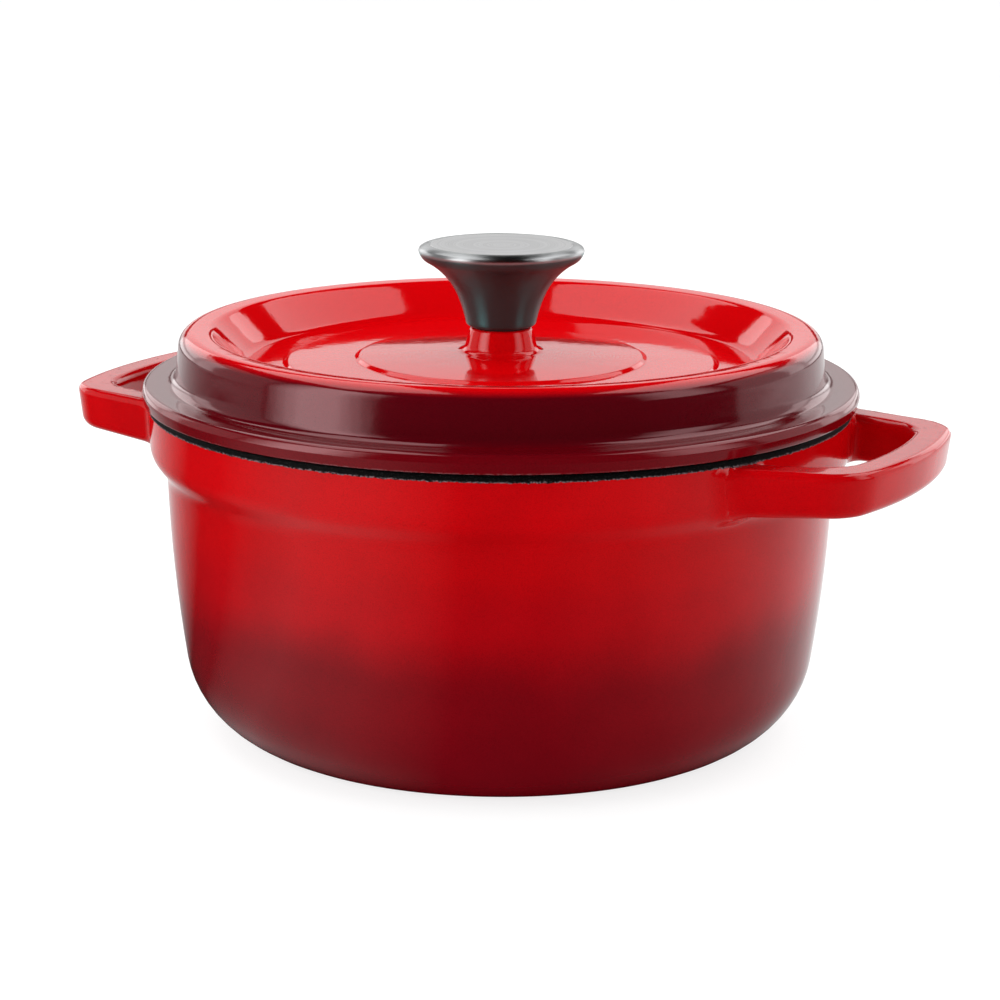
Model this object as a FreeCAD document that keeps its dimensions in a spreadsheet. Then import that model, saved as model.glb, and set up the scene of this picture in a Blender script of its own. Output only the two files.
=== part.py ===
import FreeCAD, Part
import math
import os
import Sketcher

# Round enamelled cast iron dutch oven: a pot with two loop handles cast on, and a lid
# with a steel knob bolted through a central boss.
# Frame: millimetres, +Z up, origin at the centre of the base the pot stands on,
# handles along X.

doc = FreeCAD.newDocument("dutch_oven")

# ---------------------------------------------------------------- driving dimensions
DRIVING = [
    # pot casting
    ("pot_height", 116.8, "base to the rim the lid rests on"),
    ("rim_radius", 122.5, "outside of the collar under the rim"),
    ("collar_low_radius", 122.3, "outside of the collar at its lower end"),
    ("collar_low", 99.0, "height where the collar begins to turn in"),
    ("neck_radius", 116.6, "outside of the wall just under the collar"),
    ("neck_height", 91.5, "height where the wall begins"),
    ("heel_radius", 110.9, "outside of the wall where the bottom corner begins"),
    ("heel_height", 26.0, "height where the bottom corner begins"),
    ("base_radius", 90.6, "flat base"),
    ("wall_bow", 520.0, "radius of the slight barrel curve of the wall"),
    ("heel_arc", 34.0, "radius of the bottom corner outside"),
    ("heel_arc_inside", 30.0, "radius of the bottom corner inside"),
    ("pot_wall", 3.6, "casting thickness of the wall"),
    ("pot_floor", 4.4, "casting thickness of the base"),
    ("base_round", 2.5, "edge of the base"),
    ("collar_round", 6.0, "blends above and below the collar step"),
    ("rim_round", 2.0, "outer edge of the rim"),
    ("rim_round_inside", 1.2, "inner edge of the rim"),
    # loop handles, cast with the pot
    ("handle_top", 113.6, "height of the flat top face"),
    ("handle_root_low", 97.0, "height of the underside at the pot"),
    ("handle_end_low", 99.0, "height of the underside at the outer end"),
    ("handle_reach", 157.6, "pot axis to the outer face"),
    ("handle_end_half", 47.0, "half width at the outer corners"),
    ("handle_root", 96.0, "distance from the axis where the legs end inside the wall"),
    ("handle_root_half", 59.6, "half width at the roots of the legs"),
    ("handle_bar", 12.6, "thickness of the bar one holds"),
    ("handle_leg", 12.0, "thickness of the legs"),
    ("handle_corner", 10.5, "outer corners in plan"),
    ("handle_corner_inside", 8.0, "inner corners in plan"),
    ("handle_draft", 8.0, "inward slope of the outer faces, degrees"),
    ("handle_edge", 2.6, "rounding of the top edges"),
    ("handle_under_edge", 3.2, "rounding of the lower outer edge"),
    # lid casting, heights above the seat on the rim
    ("lid_radius", 125.0, "outside of the flange"),
    ("lip_radius", 124.2, "lower edge of the flange"),
    ("bulge_height", 3.6, "height of the widest point"),
    ("shoulder_radius", 123.9, "shoulder of the flange"),
    ("shoulder_height", 6.4, "height of the shoulder"),
    ("wall_foot_radius", 113.3, "foot of the raised wall on the flange"),
    ("wall_foot_height", 6.0, "height of the flange at the wall foot"),
    ("crest_radius", 106.5, "centre line of the rounded crest"),
    ("crest_height", 24.1, "top of the crest"),
    ("crest_tube", 5.6, "radius of the crest rounding"),
    ("crest_in_radius", 100.8, "inner edge of the crest"),
    ("crest_in_height", 23.8, "height there"),
    ("channel_out", 89.0, "foot of the crest, outside of the channel"),
    ("channel_in", 75.8, "inside of the channel"),
    ("channel_height", 11.9, "bottom of the channel"),
    ("terrace_radius", 74.2, "outer edge of the terrace"),
    ("terrace_edge_height", 13.2, "height there"),
    ("terrace_height", 13.4, "terrace at the foot of the plateau"),
    ("plateau_foot", 50.9, "foot of the plateau"),
    ("plateau_radius", 49.4, "edge of the slightly domed plateau"),
    ("plateau_edge_height", 14.5, "height there"),
    ("plateau_height", 15.9, "plateau at the boss"),
    ("plateau_arc", 800.0, "radius of the dome of the plateau"),
    ("boss_foot_radius", 13.0, "boss at the plateau"),
    ("boss_top_radius", 10.8, "boss at the top"),
    ("boss_height", 24.2, "top of the boss"),
    ("lid_wall", 3.6, "casting thickness of the lid"),
    ("spigot_gap", 1.1, "play of the locating ring in the mouth of the pot"),
    ("spigot_depth", 3.6, "depth of the locating ring below the seat"),
    ("spigot_width", 4.0, "thickness of the locating ring"),
    ("screw_hole", 3.4, "radius of the hole for the knob screw"),
    ("flange_round", 1.6, "shoulder and widest point of the flange"),
    ("lip_round", 0.8, "lower edge of the flange"),
    ("foot_round", 3.2, "blend of wall and flange"),
    ("boss_round", 4.0, "blend of boss and plateau"),
    ("boss_edge", 1.2, "top edge of the boss"),
    ("ring_round", 1.2, "edges of the plateau and the terrace"),
    ("crest_in_round", 3.0, "inner edge of the crest"),
    ("channel_round", 6.0, "foot of the crest in the channel"),
    ("under_round", 1.8, "inner corners of the underside"),
    # knob and its fixing, heights above the foot of each piece
    ("seal_thick", 0.6, "soft washer between boss and knob"),
    ("seal_radius", 9.6, "outside of the soft washer"),
    ("seal_hole", 6.2, "hole of the soft washer"),
    ("knob_height", 28.4, "knob, foot to top face"),
    ("knob_foot_radius", 10.8, "flat foot of the knob"),
    ("knob_low_radius", 12.3, "stem just above the foot"),
    ("knob_low", 1.2, "height there"),
    ("knob_mid_radius", 15.1, "stem half way"),
    ("knob_mid", 10.3, "height there"),
    ("knob_neck_radius", 26.2, "trumpet where it meets the rolled rim"),
    ("knob_neck", 22.6, "height there"),
    ("knob_radius", 28.8, "outside of the rolled rim"),
    ("knob_widest", 26.2, "height of the widest point"),
    ("knob_rim_radius", 26.6, "crown of the rolled rim"),
    ("knob_foot_arc", 1.8, "rounded edge of the foot"),
    ("knob_stem_arc", 45.0, "curve of the stem"),
    ("knob_mouth_arc", 24.8, "curve where the stem opens"),
    ("knob_rim_arc", 5.3, "rolled rim, lower half"),
    ("knob_lip_arc", 2.2, "rolled rim, upper half"),
    ("knob_web", 11.6, "solid foot of the knob"),
    ("knob_hollow_low", 12.6, "radius of the hollow above the solid foot"),
    ("knob_hollow_mid", 18.0, "radius of the hollow half way up"),
    ("knob_hollow_rise", 19.4, "height there"),
    ("cap_radius", 25.3, "disc set in the top of the knob"),
    ("cap_thick", 1.4, "thickness of that disc at its edge"),
    ("cap_dish", 0.3, "hollow of its top face"),
    ("cap_dish_arc", 1066.0, "radius of that hollow"),
    ("cap_play", 0.05, "fit of the disc in its seat"),
    ("cap_ledge", 22.8, "inner edge of the seat for the disc"),
    ("bush_radius", 5.2, "threaded bush in the foot of the knob"),
    ("bush_start", 0.2, "bush stands back from the foot face"),
    ("bush_head_radius", 7.0, "head of the bush inside the knob"),
    ("bush_head", 1.4, "thickness of that head"),
    ("bush_play", 0.03, "fit of the bush in the foot"),
    ("thread_radius", 3.0, "M6 screw"),
    ("thread_play", 0.05, "fit of the screw in the bush"),
    ("screw_length", 30.0, "length under the head"),
    ("screw_tip", 0.6, "bevel at the tip"),
    ("screw_head_radius", 5.6, "pan head"),
    ("screw_head", 3.6, "height of the head"),
    ("screw_slot", 1.4, "width of the cross slots in the head"),
    ("screw_slot_long", 7.0, "length of the cross slots"),
    ("screw_slot_deep", 1.9, "depth of the cross slots"),
    ("screw_edge", 1.4, "rounding of the head"),
    ("spring_radius", 5.9, "split spring washer"),
    ("spring_hole", 3.15, "hole of the spring washer"),
    ("spring_thick", 1.6, "thickness of the spring washer"),
    ("spring_split", 1.0, "split in the spring washer"),
    ("washer_radius", 9.0, "wide flat washer under the lid"),
    ("washer_hole", 3.2, "hole of the flat washer"),
    ("washer_thick", 1.2, "thickness of the flat washer"),
    ("washer_seat", 11.0, "flat under the plateau that the washer bears on"),
    ("washer_edge", 0.3, "broken edges of the flat washer"),
]

# -------------------------------------------------------- values worked out from them
DERIVED = [
    ("mouth_radius", "rim_radius - pot_wall"),
    ("neck_inside", "neck_radius - pot_wall"),
    ("heel_inside", "heel_radius - pot_wall"),
    ("heel_inside_height", "heel_height + 2"),
    ("floor_radius", "base_radius - 5"),
    ("mouth_low", "collar_low + 1"),
    ("above_rim", "pot_height + 5"),
    ("under_cut_in", "handle_root"),
    ("under_cut_out", "handle_reach + 8"),
    ("under_cut_low", "handle_root_low - 12"),
    ("under_cut_root", "handle_root_low - (handle_end_low - handle_root_low)"
                       " * (rim_radius - handle_root) / (handle_reach - rim_radius)"),
    ("under_cut_end", "handle_end_low + (handle_end_low - handle_root_low)"
                      " * 8 / (handle_reach - rim_radius)"),
    ("slab_depth", "handle_top - handle_root_low + 6"),
    ("opening_reach", "handle_reach - handle_bar"),
    ("opening_end_half", "handle_end_half - handle_leg + 0.9"),
    ("opening_root", "handle_root + 6"),
    ("opening_root_half", "handle_root_half - handle_leg - 1.6"),
    ("crest_middle", "crest_height - crest_tube"),
    ("crest_wall_radius", "crest_radius + crest_tube"),
    ("spigot_radius", "mouth_radius - spigot_gap"),
    ("spigot_inside", "spigot_radius - spigot_width"),
    ("under_wall_foot", "wall_foot_radius - lid_wall"),
    ("under_wall_top", "crest_wall_radius - lid_wall"),
    ("under_seat", "1.5"),
    ("under_crest", "crest_height - lid_wall"),
    ("under_crest_in", "crest_in_radius + 1.5"),
    ("under_crest_in_height", "crest_in_height - lid_wall"),
    ("under_channel_out", "channel_out + 1.5"),
    ("under_channel_in", "channel_in - 1.2"),
    ("under_channel_height", "channel_height - lid_wall"),
    ("under_terrace", "terrace_radius - 2"),
    ("under_terrace_height", "terrace_edge_height - lid_wall"),
    ("under_step", "plateau_foot - 1.2"),
    ("under_step_height", "terrace_height - lid_wall"),
    ("under_plateau", "plateau_radius - 1.8"),
    ("under_plateau_edge", "plateau_edge_height - lid_wall"),
    ("under_plateau_height", "plateau_height - lid_wall"),
    ("knob_edge", "cap_radius + cap_play"),
    ("cap_seat", "knob_height - cap_thick"),
    ("cap_middle", "cap_thick - cap_dish"),
    ("bush_hole", "bush_radius + bush_play"),
    ("bush_shank", "knob_web - bush_start"),
    ("bush_length", "bush_shank + bush_head"),
    ("bush_bore", "thread_radius + thread_play"),
    ("tip_radius", "thread_radius - screw_tip"),
    ("tip_height", "screw_length - screw_tip"),
    ("slot_half", "screw_slot / 2"),
    ("slot_half_long", "screw_slot_long / 2"),
    ("split_half", "spring_split / 2"),
    ("split_far", "spring_radius + 1"),
    ("seal_place", "pot_height + boss_height"),
    ("knob_place", "seal_place + seal_thick"),
    ("cap_place", "knob_place + cap_seat"),
    ("bush_place", "knob_place + bush_start"),
    ("washer_place", "pot_height + under_plateau_height - washer_thick"),
    ("screw_place", "washer_place - spring_thick"),
]


def make_sheet():
    """Spreadsheet with the driving dimensions first and the worked-out ones below."""
    table = doc.addObject("Spreadsheet::Sheet", "dims")
    row = 1
    for alias, value, note in DRIVING:
        table.set("A%d" % row, note)
        table.set("B%d" % row, str(value))
        table.setAlias("B%d" % row, alias)
        row += 1
    doc.recompute()
    for alias, formula in DERIVED:
        table.set("A%d" % row, "worked out")
        table.set("B%d" % row, "=" + formula)
        table.setAlias("B%d" % row, alias)
        row += 1
    doc.recompute()
    return table


dims = make_sheet()


def size(alias):
    """Value of a sheet dimension; "-name" is its negative and "0" stands for zero."""
    if alias == "0":
        return 0.0
    sign = -1.0 if alias.startswith("-") else 1.0
    return sign * float(dims.get(alias.lstrip("-")))


def signed(alias):
    """Expression that reads a sheet dimension, keeping a leading minus."""
    return ("-dims." if alias.startswith("-") else "dims.") + alias.lstrip("-")


# -------------------------------------------------------------------- sketch helpers
ROOT = -1       # the sketch origin, and the horizontal axis
UPRIGHT = -2    # the vertical axis


def new_body(name, place=None):
    """Body with its own local frame, set at a sheet height above the base."""
    body = doc.addObject("PartDesign::Body", name)
    body.Label = name
    if place:
        body.Placement = FreeCAD.Placement(
            FreeCAD.Vector(0, 0, size(place)), FreeCAD.Rotation())
        body.setExpression("Placement.Base.z", "dims." + place)
    return body


def plane_of(body, role):
    for item in body.Origin.OriginFeatures:
        if item.Role == role:
            return item
    raise ValueError("no plane " + role)


def new_sketch(body, name, role, height=None):
    """Sketch on one of the body's own planes, lifted to a sheet height if one is given."""
    sketch = body.newObject("Sketcher::SketchObject", name)
    sketch.AttachmentSupport = [(plane_of(body, role), "")]
    sketch.MapMode = "FlatFace"
    if height and height != "0":
        sketch.AttachmentOffset = FreeCAD.Placement(
            FreeCAD.Vector(0, 0, size(height)), FreeCAD.Rotation())
        sketch.setExpression("AttachmentOffset.Base.z", signed(height))
    return sketch


def fix_point(sketch, geo, end, x, y):
    """Hold one end of a line or arc at sheet coordinates x, y."""
    if x == "0" and y == "0":
        sketch.addConstraint(Sketcher.Constraint("Coincident", geo, end, ROOT, 1))
        return
    for kind, value, axis in (("DistanceX", x, UPRIGHT), ("DistanceY", y, ROOT)):
        if value == "0":
            sketch.addConstraint(Sketcher.Constraint("PointOnObject", geo, end, axis))
        else:
            hold_distance(sketch, kind, geo, end, value)


def hold_distance(sketch, kind, geo, end, alias):
    """Distance from the origin to a point, measured backwards for a negative side."""
    name = alias.lstrip("-")
    ends = (geo, end, ROOT, 1) if alias.startswith("-") else (ROOT, 1, geo, end)
    index = sketch.addConstraint(Sketcher.Constraint(kind, *ends, size(name)))
    sketch.setExpression("Constraints[%d]" % index, "dims." + name)


def hold_radius(sketch, geo, alias):
    index = sketch.addConstraint(Sketcher.Constraint("Radius", geo, size(alias)))
    sketch.setExpression("Constraints[%d]" % index, "dims." + alias)


def arc_through(start, end, radius, side):
    """Arc of the given radius from start to end; side +1 bulges to the right of travel."""
    middle = (start + end) * 0.5
    along = end - start
    half = along.Length / 2
    across = FreeCAD.Vector(along.y, -along.x, 0) / along.Length
    centre = middle - across * side * math.sqrt(radius * radius - half * half)
    first, last = (start, end) if side > 0 else (end, start)
    angles = [math.atan2(p.y - centre.y, p.x - centre.x) for p in (first, last)]
    circle = Part.Circle(centre, FreeCAD.Vector(0, 0, 1), radius)
    return Part.ArcOfCircle(circle, angles[0], angles[1])


def draw_loop(sketch, corners):
    """Closed outline. A corner is (x, y) or (x, y, radius, side) when an arc follows it."""
    points = [FreeCAD.Vector(size(c[0]), size(c[1]), 0) for c in corners]
    ends = []
    for i, corner in enumerate(corners):
        start, end = points[i], points[(i + 1) % len(points)]
        if len(corner) == 2:
            geo = sketch.addGeometry(Part.LineSegment(start, end), False)
            ends.append((geo, 1, 2))
        else:
            geo = sketch.addGeometry(arc_through(start, end, size(corner[2]), corner[3]), False)
            ends.append((geo, 1, 2) if corner[3] > 0 else (geo, 2, 1))
    for i, (geo, first, last) in enumerate(ends):
        after = ends[(i + 1) % len(ends)]
        sketch.addConstraint(Sketcher.Constraint("Coincident", geo, last, after[0], after[1]))
    for i, (geo, first, last) in enumerate(ends):
        fix_point(sketch, geo, first, corners[i][0], corners[i][1])
        if len(corners[i]) == 4:
            hold_radius(sketch, geo, corners[i][2])
    return sketch


def turn(body, name, corners, cut=False):
    """Revolve a half section about the vertical axis, adding or cutting."""
    sketch = draw_loop(new_sketch(body, name + "_section", "XZ_Plane"), corners)
    kind = "PartDesign::Groove" if cut else "PartDesign::Revolution"
    feature = body.newObject(kind, name)
    feature.Profile = sketch
    feature.ReferenceAxis = (sketch, ["V_Axis"])
    feature.Angle = 360.0
    sketch.Visibility = False
    doc.recompute()
    return feature


def ring_edges(shape, rings):
    """Names of the full circular edges about Z at the given (radius, height) pairs."""
    names = []
    for i, edge in enumerate(shape.Edges):
        curve = edge.Curve
        if not isinstance(curve, Part.Circle):
            continue
        if math.hypot(curve.Center.x, curve.Center.y) > 0.01:
            continue
        for radius, height in rings:
            if abs(curve.Radius - size(radius)) < 0.02 and abs(curve.Center.z - size(height)) < 0.02:
                names.append("Edge%d" % (i + 1))
                break
    return names


def round_edges(body, name, base, edges, radius):
    feature = body.newObject("PartDesign::Fillet", name)
    feature.Base = (base, edges)
    feature.Radius = size(radius)
    feature.setExpression("Radius", "dims." + radius)
    doc.recompute()
    return feature


def round_rings(body, name, base, rings, radius):
    return round_edges(body, name, base, ring_edges(base.Shape, rings), radius)


# ------------------------------------------------------------------------------- pot
def draw_handle_plan(sketch):
    """Both handles as one slab through the pot: concentric ends and flaring legs."""
    reach = size("handle_reach")
    end_half = size("handle_end_half")
    end_x = math.sqrt(reach ** 2 - end_half ** 2)
    root_x, root_half = size("handle_root"), size("handle_root_half")
    spread = math.asin(end_half / reach)
    circle = Part.Circle(FreeCAD.Vector(), FreeCAD.Vector(0, 0, 1), reach)
    corner = [FreeCAD.Vector(x, y, 0) for x, y in (
        (end_x, end_half), (root_x, root_half), (-root_x, root_half), (-end_x, end_half),
        (-end_x, -end_half), (-root_x, -root_half), (root_x, -root_half), (end_x, -end_half))]
    right = sketch.addGeometry(Part.ArcOfCircle(circle, -spread, spread), False)
    upper = [sketch.addGeometry(Part.LineSegment(corner[i], corner[i + 1]), False)
             for i in range(3)]
    left = sketch.addGeometry(
        Part.ArcOfCircle(circle, math.pi - spread, math.pi + spread), False)
    lower = [sketch.addGeometry(Part.LineSegment(corner[i], corner[i + 1]), False)
             for i in range(4, 7)]
    chain = [right] + upper + [left] + lower
    for i, geo in enumerate(chain):
        sketch.addConstraint(Sketcher.Constraint("Coincident", geo, 2, chain[(i + 1) % 8], 1))
    for geo in (right, left):
        sketch.addConstraint(Sketcher.Constraint("Coincident", geo, 3, ROOT, 1))
    sketch.addConstraint(Sketcher.Constraint("Symmetric", right, 1, right, 2, ROOT))
    sketch.addConstraint(Sketcher.Constraint("Symmetric", upper[0], 2, lower[2], 1, ROOT))
    sketch.addConstraint(Sketcher.Constraint("Symmetric", upper[0], 2, upper[1], 2, UPRIGHT))
    sketch.addConstraint(Sketcher.Constraint("Symmetric", lower[2], 1, lower[0], 2, UPRIGHT))
    sketch.addConstraint(Sketcher.Constraint("Symmetric", right, 2, left, 1, UPRIGHT))
    sketch.addConstraint(Sketcher.Constraint("Symmetric", left, 1, left, 2, ROOT))
    hold_radius(sketch, right, "handle_reach")
    hold_distance(sketch, "DistanceY", right, 2, "handle_end_half")
    hold_distance(sketch, "DistanceX", upper[0], 2, "handle_root")
    hold_distance(sketch, "DistanceY", upper[0], 2, "handle_root_half")


def draw_opening(sketch, side):
    """Finger opening of one handle; side is +1 or -1 along X."""
    reach = size("opening_reach")
    end_half = size("opening_end_half")
    end_x = side * math.sqrt(reach ** 2 - end_half ** 2)
    root_x, root_half = side * size("opening_root"), size("opening_root_half")
    spread = math.asin(end_half / reach)
    middle = 0.0 if side > 0 else math.pi
    circle = Part.Circle(FreeCAD.Vector(), FreeCAD.Vector(0, 0, 1), reach)
    end = sketch.addGeometry(Part.ArcOfCircle(circle, middle - spread, middle + spread), False)
    first = FreeCAD.Vector(end_x, side * end_half, 0)
    last = FreeCAD.Vector(end_x, -side * end_half, 0)
    root_first = FreeCAD.Vector(root_x, side * root_half, 0)
    root_last = FreeCAD.Vector(root_x, -side * root_half, 0)
    legs = [sketch.addGeometry(Part.LineSegment(a, b), False) for a, b in (
        (first, root_first), (root_first, root_last), (root_last, last))]
    chain = [end] + legs
    for i, geo in enumerate(chain):
        sketch.addConstraint(Sketcher.Constraint("Coincident", geo, 2, chain[(i + 1) % 4], 1))
    sketch.addConstraint(Sketcher.Constraint("Coincident", end, 3, ROOT, 1))
    sketch.addConstraint(Sketcher.Constraint("Symmetric", end, 1, end, 2, ROOT))
    sketch.addConstraint(Sketcher.Constraint("Symmetric", legs[0], 2, legs[1], 2, ROOT))
    hold_radius(sketch, end, "opening_reach")
    for kind, geo, point, alias in (
            ("DistanceY", end, 2 if side > 0 else 1, "opening_end_half"),
            ("DistanceY", legs[0] if side > 0 else legs[1], 2, "opening_root_half")):
        hold_distance(sketch, kind, geo, point, alias)
    root = "opening_root" if side > 0 else "-opening_root"
    hold_distance(sketch, "DistanceX", legs[0], 2, root)


def upright_corners(shape, reach, play):
    """Edges that run from top to bottom of the handles at one distance from the axis."""
    names = []
    for i, edge in enumerate(shape.Edges):
        middle = edge.CenterOfMass
        if edge.BoundBox.ZLength > 8 and abs(math.hypot(middle.x, middle.y) - reach) < play:
            names.append("Edge%d" % (i + 1))
    return names


def border_edges(shape, upper, outer):
    """Long edges of the handles: on the top face or the underside, outside or in the opening."""
    top = size("handle_top")
    names = []
    for i, edge in enumerate(shape.Edges):
        box = edge.BoundBox
        middle = edge.valueAt((edge.FirstParameter + edge.LastParameter) / 2)
        on_top = box.ZLength < 0.01 and abs(box.ZMin - top) < 0.01
        on_underside = box.ZMin > top - 19 and box.ZMax < top - 8
        if not (on_top if upper else on_underside):
            continue
        if max(abs(box.XMin), abs(box.XMax)) < size("opening_root") + 8:
            continue
        if is_outside(middle) == outer:
            names.append("Edge%d" % (i + 1))
    return names


def is_outside(point):
    """True on the outer faces of a handle, False in its finger opening."""
    run = (size("handle_root_half") - size("handle_end_half")) / (
        size("handle_reach") - size("handle_root"))
    leg_line = size("handle_root_half") - (abs(point.x) - size("handle_root")) * run
    beyond_leg = abs(point.y) > leg_line - size("handle_leg") * 0.6
    beyond_bar = math.hypot(point.x, point.y) > size("handle_reach") - size("handle_bar") * 0.6
    return beyond_leg or beyond_bar


def make_handles(body):
    """Both handles with their openings and rounded edges, before the pot is added."""
    plan = new_sketch(body, "handle_plan", "XY_Plane", "handle_top")
    draw_handle_plan(plan)
    slab = body.newObject("PartDesign::Pad", "handle_slab")
    slab.Profile = plan
    slab.Reversed = True
    slab.setExpression("Length", "dims.slab_depth")
    slab.TaperAngle = -size("handle_draft")
    slab.setExpression("TaperAngle", "-dims.handle_draft")
    plan.Visibility = False
    doc.recompute()
    corners = round_edges(body, "handle_corners", slab,
                          upright_corners(slab.Shape, size("handle_reach"), 6), "handle_corner")
    turn(body, "handle_underside", [
        ("under_cut_in", "under_cut_low"), ("under_cut_out", "under_cut_low"),
        ("under_cut_out", "under_cut_end"), ("under_cut_in", "under_cut_root")], cut=True)

    holes = new_sketch(body, "opening_plan", "XY_Plane", "handle_top")
    draw_opening(holes, 1)
    draw_opening(holes, -1)
    openings = body.newObject("PartDesign::Pocket", "handle_openings")
    openings.Profile = holes
    openings.Type = "ThroughAll"
    openings.Midplane = True
    holes.Visibility = False
    doc.recompute()

    step = round_edges(body, "opening_corners", openings,
                       upright_corners(openings.Shape, size("opening_reach"), 1.5),
                       "handle_corner_inside")
    for name, upper, outer, radius in (
            ("handle_top_round", True, True, "handle_edge"),
            ("opening_top_round", True, False, "handle_edge"),
            ("handle_low_round", False, True, "handle_under_edge"),
            ("opening_low_round", False, False, "handle_edge")):
        step = round_edges(body, name, step, border_edges(step.Shape, upper, outer), radius)
    return step


def make_pot():
    body = new_body("pot")
    make_handles(body)
    shell = turn(body, "pot_shell", [
        ("0", "0"), ("base_radius", "0", "heel_arc", 1),
        ("heel_radius", "heel_height", "wall_bow", 1), ("neck_radius", "neck_height"),
        ("collar_low_radius", "collar_low"), ("rim_radius", "pot_height"), ("0", "pot_height")])
    cavity = turn(body, "pot_cavity", [
        ("0", "pot_floor"), ("floor_radius", "pot_floor", "heel_arc_inside", 1),
        ("heel_inside", "heel_inside_height", "wall_bow", 1), ("neck_inside", "neck_height"),
        ("mouth_radius", "mouth_low"), ("mouth_radius", "above_rim"), ("0", "above_rim")],
        cut=True)
    step = round_rings(body, "base_edge", cavity, [("base_radius", "0")], "base_round")
    step = round_rings(body, "collar_foot", step, [("neck_radius", "neck_height")], "collar_round")
    step = round_rings(body, "mouth_step", step, [
        ("neck_inside", "neck_height"), ("mouth_radius", "mouth_low")], "collar_round")
    step = round_rings(body, "rim_outside", step, [("rim_radius", "pot_height")], "rim_round")
    step = round_rings(body, "rim_inside", step, [("mouth_radius", "pot_height")],
                       "rim_round_inside")
    return body


# ------------------------------------------------------------------------------- lid
def make_lid():
    """One casting: flange, raised crest, stepped plateau, boss and locating ring."""
    body = new_body("lid", "pot_height")
    step = turn(body, "lid_section", [
        ("screw_hole", "under_plateau_height"), ("washer_seat", "under_plateau_height"),
        ("under_plateau", "under_plateau_edge"), ("under_step", "under_step_height"),
        ("under_terrace", "under_terrace_height"), ("under_channel_in", "under_channel_height"),
        ("under_channel_out", "under_channel_height"),
        ("under_crest_in", "under_crest_in_height"), ("crest_radius", "under_crest"),
        ("under_wall_top", "crest_middle"), ("under_wall_foot", "under_seat"),
        ("spigot_inside", "-spigot_depth"), ("spigot_radius", "-spigot_depth"),
        ("spigot_radius", "0"), ("lip_radius", "0"), ("lid_radius", "bulge_height"),
        ("shoulder_radius", "shoulder_height"), ("wall_foot_radius", "wall_foot_height"),
        ("crest_wall_radius", "crest_middle", "crest_tube", 1),
        ("crest_radius", "crest_height"), ("crest_in_radius", "crest_in_height"),
        ("channel_out", "channel_height"), ("channel_in", "channel_height"),
        ("terrace_radius", "terrace_edge_height"), ("plateau_foot", "terrace_height"),
        ("plateau_radius", "plateau_edge_height", "plateau_arc", 1),
        ("boss_foot_radius", "plateau_height"), ("boss_top_radius", "boss_height"),
        ("screw_hole", "boss_height")])
    for name, rings, radius in (
            ("ring_edges", [("terrace_radius", "terrace_edge_height"),
                            ("channel_in", "channel_height"),
                            ("plateau_radius", "plateau_edge_height"),
                            ("plateau_foot", "terrace_height")], "ring_round"),
            ("crest_in_edge", [("crest_in_radius", "crest_in_height")], "crest_in_round"),
            ("channel_foot", [("channel_out", "channel_height")], "channel_round"),
            ("boss_foot", [("boss_foot_radius", "plateau_height")], "boss_round"),
            ("boss_rim", [("boss_top_radius", "boss_height")], "boss_edge"),
            ("wall_foot", [("wall_foot_radius", "wall_foot_height")], "foot_round"),
            ("flange_edges", [("shoulder_radius", "shoulder_height"),
                              ("lid_radius", "bulge_height")], "flange_round"),
            ("flange_lip", [("lip_radius", "0")], "lip_round"),
            ("spigot_edges", [("spigot_inside", "-spigot_depth"),
                              ("spigot_radius", "-spigot_depth")], "lip_round"),
            ("crest_inside", [("under_wall_top", "crest_middle"),
                              ("under_wall_foot", "under_seat")], "under_round"),
            ("channel_inside", [("under_channel_out", "under_channel_height"),
                                ("under_channel_in", "under_channel_height"),
                                ("under_terrace", "under_terrace_height")], "ring_round")):
        step = round_rings(body, name, step, rings, radius)
    return body


# -------------------------------------------------------------------- knob and fixing
def make_knob_shell():
    """Turned steel trumpet, hollow above a solid foot, with a seat for the top disc."""
    body = new_body("knob_shell", "knob_place")
    turn(body, "knob_section", [
        ("bush_hole", "0"), ("knob_foot_radius", "0", "knob_foot_arc", 1),
        ("knob_low_radius", "knob_low", "knob_stem_arc", -1),
        ("knob_mid_radius", "knob_mid", "knob_mouth_arc", -1),
        ("knob_neck_radius", "knob_neck", "knob_rim_arc", 1),
        ("knob_radius", "knob_widest", "knob_lip_arc", 1), ("knob_rim_radius", "knob_height"),
        ("knob_edge", "knob_height"), ("knob_edge", "cap_seat"), ("cap_ledge", "cap_seat"),
        ("knob_hollow_mid", "knob_hollow_rise"), ("knob_hollow_low", "knob_web"),
        ("bush_hole", "knob_web")])
    return body


def make_knob_cap():
    """Slightly dished disc that closes the top of the knob."""
    body = new_body("knob_cap", "cap_place")
    turn(body, "cap_section", [
        ("0", "0"), ("cap_radius", "0"), ("cap_radius", "cap_thick", "cap_dish_arc", -1),
        ("0", "cap_middle")])
    return body


def make_knob_bush():
    """Threaded bush that takes the screw."""
    body = new_body("knob_bush", "bush_place")
    turn(body, "bush_section", [
        ("bush_bore", "0"), ("bush_radius", "0"), ("bush_radius", "bush_shank"),
        ("bush_head_radius", "bush_shank"), ("bush_head_radius", "bush_length"),
        ("bush_bore", "bush_length")])
    return body


def make_ring(name, place, hole, radius, thick, edge=None):
    """Flat ring, with both outer edges broken if an edge size is given."""
    body = new_body(name, place)
    ring = turn(body, name + "_ring", [(hole, "0"), (radius, "0"), (radius, thick), (hole, thick)])
    if edge:
        bevel = body.newObject("PartDesign::Chamfer", name + "_edge")
        bevel.Base = (ring, ring_edges(ring.Shape, [(radius, "0"), (radius, thick)]))
        bevel.Size = size(edge)
        bevel.setExpression("Size", "dims." + edge)
        doc.recompute()
    return body


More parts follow.
